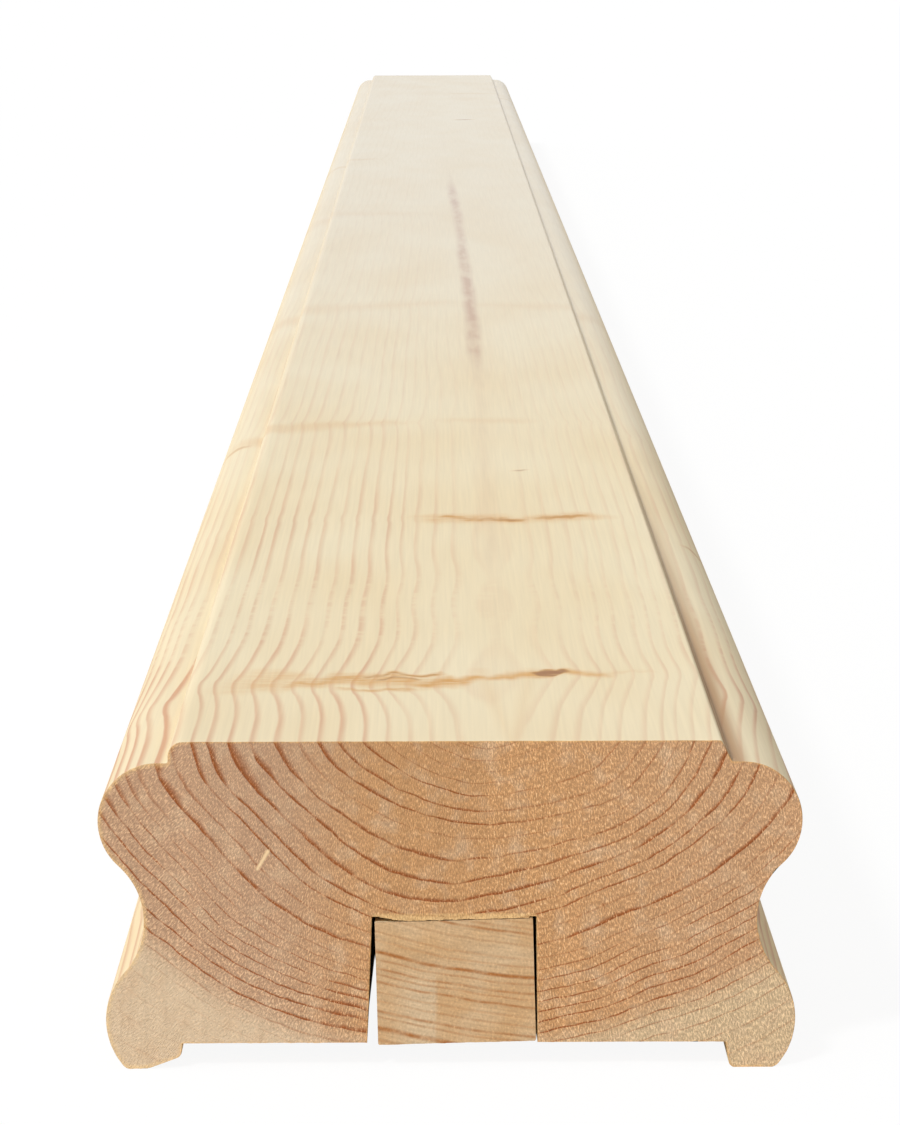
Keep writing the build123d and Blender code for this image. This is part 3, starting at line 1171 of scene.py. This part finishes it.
@dataclass(frozen=True)
class PlanedStripPine:
    """Pine of the strip's sides: planed like the rail, pale and silky, with thin straight lines."""

    name: str = "planed_strip_pine"
    figure: StripFigure = StripFigure()
    pale: str = "#e9d6b2"
    gold: str = "#c79d6c"
    line_share: float = 0.6
    ior: float = 1.5
    roughness: float = 0.55

    def material(self) -> bpy.types.Material:
        """Write the finish as a node material.

        Returns:
            The new material.
        """
        made, sheet = new_material(self.name)
        put = sheet.add
        place = sheet.place()

        # Pale wood with the lines of the years, fainter than on the sawn ends
        _, line = self.figure.rings(sheet, place)
        line = put("Math MULTIPLY", line, self.line_share)
        colour = put("MixRGB", line, self.pale, self.gold)

        # Fibres, drawn at 0.5 mm as on the rail, so that they show
        fine = put("TexNoise", place, size=(0.5, 40, 0.5), Detail=2.0)
        colour = put("MixRGB MULTIPLY", 1.0, colour, put("MapRange", fine, 0.3, 0.7, 0.95, 1.03))
        bump = put("Bump", Strength=0.4, Distance=0.03 * MM, Height=fine)
        shader = put("BsdfPrincipled", colour, IOR=self.ior, Roughness=self.roughness, Normal=bump)
        put("OutputMaterial", shader)
        return made


@dataclass(frozen=True)
class SawnStripPine:
    """Pine of the strip's ends: cut by a finer saw than the rail, so smoother, yellower and less torn."""

    name: str = "sawn_strip_pine"
    figure: StripFigure = StripFigure()
    gold: str = "#bd9b72"
    pale: str = "#c5b092"
    line: str = "#9c6430"
    hair: str = "#e6cda3"
    hair_width: float = 0.35
    hair_length: float = 0.45
    hair_depth: float = 5 / 3
    ior: float = 1.5
    roughness: float = 0.75

    def material(self) -> bpy.types.Material:
        """Write the finish as a node material.

        Returns:
            The new material.
        """
        made, sheet = new_material(self.name)
        put = sheet.add
        place = sheet.place()

        # Gold wood, paler in slow patches and rubbed pale at the lower left
        broad = put("TexNoise", place, size=(6, 150, 6), Detail=1.0)
        split = put("SeparateXYZ", place).node.outputs
        worn = put("MapRange", split["X"], -2.2, -1.6, 0.8, 0)
        worn = put("Math MULTIPLY", worn, put("MapRange", split["X"], -9.5, -5, 0, 1))
        worn = put("Math MULTIPLY", worn, put("MapRange", split["Z"], 16, 11, 0, 1))
        share = put("Math MAXIMUM", put("MapRange", broad, 0.4, 0.65, 0, 0.5), worn)
        colour = put("MixRGB", share, self.gold, self.pale)

        # Fine grain along the rings, and the lines of the years
        radius, line = self.figure.rings(sheet, place)
        grain = put("CombineXYZ", put("Math DIVIDE", radius, 0.3), put("Math DIVIDE", split["X"], 7.0), 0.0)
        grain = put("TexNoise", grain, Scale=1.0, Detail=2.0)
        colour = put("MixRGB MULTIPLY", 1.0, colour, put("MapRange", grain, 0.3, 0.7, 0.88, 1.1))
        colour = put("MixRGB", line, colour, self.line)

        # Torn fibres, drawn as coarse as they need to show
        hair = (self.hair_width, self.hair_depth, self.hair_length)
        torn = put("TexNoise", place, size=hair, Detail=2.5, Roughness=0.65)
        fuzz = put("Math MULTIPLY_ADD", put("Math SUBTRACT", torn, 0.5), 0.8, 1.0)
        colour = put("MixRGB MULTIPLY", 1.0, colour, fuzz)
        colour = put("MixRGB", put("MapRange", torn, 0.62, 0.72, 0, 0.3), colour, self.hair)
        bump = put("Bump", Strength=0.6, Distance=0.15 * MM, Height=torn)
        shader = put("BsdfPrincipled", colour, IOR=self.ior, Roughness=self.roughness, Normal=bump)
        put("OutputMaterial", shader)
        return made


@dataclass(frozen=True)
class Timber:
    """A length of pine with planed sides and sawn ends, which stands for a CAD node."""

    name: str
    node: str
    slot: str
    section: RailSection | StripSection
    rows: int
    ends: SawnEnds
    burr: Burr | None
    planed: PlanedPine | PlanedStripPine
    sawn: SawnPine | SawnStripPine

    def build(self) -> bpy.types.Object:
        """Make the mesh, dress it and put it in place of its CAD node.

        Returns:
            The finished piece.
        """
        chains = (self.section.outline(), self.section.underside())
        piece = Length(self.name, *chains, self.rows, self.ends, self.burr).build()
        for finish in (self.planed, self.sawn):
            piece.data.materials.append(finish.material())
        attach(piece, "root")
        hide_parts(self.node)
        return piece


@dataclass(frozen=True)
class Handrail(Timber):
    """The moulded rail, one length of pine."""

    name: str = "pine_rail"
    node: str = "handrail"
    slot: str = "planed_pine"
    section: RailSection = RailSection()
    rows: int = 50
    ends: SawnEnds = SawnEnds()
    burr: Burr | None = Burr()
    planed: PlanedPine = PlanedPine()
    sawn: SawnPine = SawnPine()


@dataclass(frozen=True)
class FilletStrip(Timber):
    """The loose strip in the rail's groove, one length of pine."""

    name: str = "pine_strip"
    node: str = "fillet_strip"
    slot: str = "strip_pine"
    section: StripSection = StripSection()
    rows: int = 40
    ends: SawnEnds = SawnEnds(relief=0.08, edge_wear=0.08, seed=23)
    burr: Burr | None = None
    planed: PlanedStripPine = PlanedStripPine()
    sawn: SawnStripPine = SawnStripPine()


@dataclass(frozen=True)
class Studio:
    """White floor, white surroundings and one soft key light from the upper left."""

    floor_half: float = 40.0
    floor_lines: int = 9
    floor_glow: float = 0.92
    floor_bounce: str = "#ece0cc"
    ambient: float = 0.45
    ambient_lean: tuple[float, float, float] = (-0.28, -0.16, 0.2)
    # What glossy wood mirrors: its strength on the left and on the right, and where it turns dim
    reflected: tuple[float, float] = (0.77, 0.1)
    reflected_turn: tuple[float, float] = (0.1, 0.7)
    key_strength: float = 2.1
    key_from: tuple[float, float, float] = (-0.40, -0.63, 0.66)
    key_spread: float = 8.0
    # Painted glow of the floor under the rail: place across, and how far in from the ends the glow reaches
    # there, in metres
    painted_glow_reach: Table = ((-0.0116, 0.029), (-0.0111, 0.066), (0.004, 0.066), (0.006, 0.016))
    painted_glow_blur: float = 0.004
    shade_half: float = 0.047

    def floor(self) -> bpy.types.Object:
        """Make the floor: a flat sheet at height 0, bright to the camera, that still takes a shadow.

        Returns:
            The floor.
        """
        span = np.linspace(-self.floor_half, self.floor_half, self.floor_lines)
        x, y = np.meshgrid(span, span, indexing="ij")
        points = np.stack([x, y, np.zeros_like(x)], axis=-1).reshape(-1, 3)
        mesh = bpy.data.meshes.new("floor")
        mesh.from_pydata(points, [], cells(np.arange(x.size).reshape(x.shape).T))
        paper, sheet = new_material("matt_white_paper")
        put = sheet.add
        split = put("SeparateXYZ", put("TexCoord", out="Object")).node.outputs
        # Under the rail the floor's glow to the camera is painted in from the ends only; deeper in it is
        # off and the floor shows its own shadow
        (x0, d0), (x1, d1), (x2, d2), (x3, d3) = self.painted_glow_reach
        reach = put("MapRange", split["X"], x0, x1, d0, d1)
        reach = put("Math MINIMUM", reach, put("MapRange", split["X"], x2, x3, d2, d3))
        inside = put("Math ABSOLUTE", split["Y"])
        inside = put("Math SUBTRACT", RAIL_LENGTH * MM / 2, inside)
        deep = put("MapRange", put("Math SUBTRACT", inside, reach), 0, self.painted_glow_blur, 0, 1)
        across = put("Math ABSOLUTE", split["X"])
        under = put("Math MULTIPLY", deep, put("Math LESS_THAN", across, self.shade_half))
        seen = put("Math MULTIPLY", put("LightPath"), put("Math SUBTRACT", 1.0, under))
        left = 1 - self.floor_glow
        body = put("BsdfDiffuse", put("MixRGB", seen, self.floor_bounce, (left, left, left, 1)))
        glow = put("Emission", (1, 1, 1, 1), put("Math MULTIPLY", seen, self.floor_glow))
        put("OutputMaterial", put("AddShader", body, glow))
        mesh.materials.append(paper)
        piece = linked("floor", mesh)
        return piece

    def surroundings(self) -> bpy.types.World:
        """Make the world: white to look at, and an even soft light on the object.

        Returns:
            The world, which the scene uses.
        """
        world = bpy.data.worlds.new("white_studio")
        world.use_nodes = True
        put = NodeSheet(world.node_tree).add
        toward = put("TexCoord", out="Generated")
        level = put("VectorMath DOT_PRODUCT", toward, self.ambient_lean, out="Value")
        level = put("Math ADD", level, self.ambient)
        mirror = put("MapRange", put("SeparateXYZ", toward), *self.reflected_turn, *self.reflected)
        path = put("LightPath").node.outputs
        level = put("MapRange", path["Is Glossy Ray"], 0, 1, level, mirror)
        level = put("MapRange", path["Is Camera Ray"], 0, 1, level, 1.0)
        put("OutputWorld", put("Background", (1, 1, 1, 1), level))
        bpy.context.scene.world = world
        return world

    def key(self) -> bpy.types.Object:
        """Make the key light, a wide soft sun.

        Returns:
            The lamp.
        """
        lamp = bpy.data.lights.new("key", "SUN")
        lamp.energy = self.key_strength
        lamp.angle = math.radians(self.key_spread)
        piece = linked("key", lamp)
        piece.matrix_world = Vector(self.key_from).to_track_quat("Z", "Y").to_matrix().to_4x4()
        return piece


@dataclass(frozen=True)
class Viewpoint:
    """The photograph's camera, fitted to the rail's outline: a long lens just over and before one end."""

    place: tuple[float, float, float] = (-2.573, -1828.356, 157.337)
    pitch: float = 7.9813
    yaw: float = 0.2402
    roll: float = -0.1498
    focal_pixels: float = 4749.9
    image: tuple[int, int] = (900, 1125)
    sensor: float = 36.0

    def build(self) -> bpy.types.Object:
        """Make the camera and hand it to the scene.

        Returns:
            The camera.
        """
        pitch, yaw, roll = (math.radians(a) for a in (self.pitch, self.yaw, self.roll))
        ahead = Vector((math.sin(yaw) * math.cos(pitch), math.cos(yaw) * math.cos(pitch), -math.sin(pitch)))
        right = Vector((math.cos(yaw), -math.sin(yaw), 0.0))
        up = right.cross(ahead)
        level = right * math.cos(roll) + up * math.sin(roll)
        upright = up * math.cos(roll) - right * math.sin(roll)
        lens = bpy.data.cameras.new("viewpoint")
        lens.sensor_width = self.sensor
        lens.lens = self.focal_pixels * self.sensor / max(self.image)
        piece = linked("viewpoint", lens)
        turn = Matrix((level, upright, -ahead)).transposed().to_4x4()
        piece.matrix_world = Matrix.Translation(Vector(self.place) * MM) @ turn
        bpy.context.scene.camera = piece
        return piece


def main() -> None:
    """Build the rail, its strip and the studio."""
    logging.basicConfig(level=logging.INFO, format="%(name)s: %(message)s")
    bpy.context.scene.view_settings.view_transform = "Standard"
    Viewpoint().build()
    for maker in (Handrail(), FilletStrip()):
        piece = maker.build()
        LOG.info("%s stands for %s, %d faces", piece.name, maker.node, len(piece.data.polygons))
    studio = Studio()
    studio.surroundings()
    for piece in (studio.floor(), studio.key()):
        LOG.info("%s placed", piece.name)


if __name__ == "__main__":
    main()
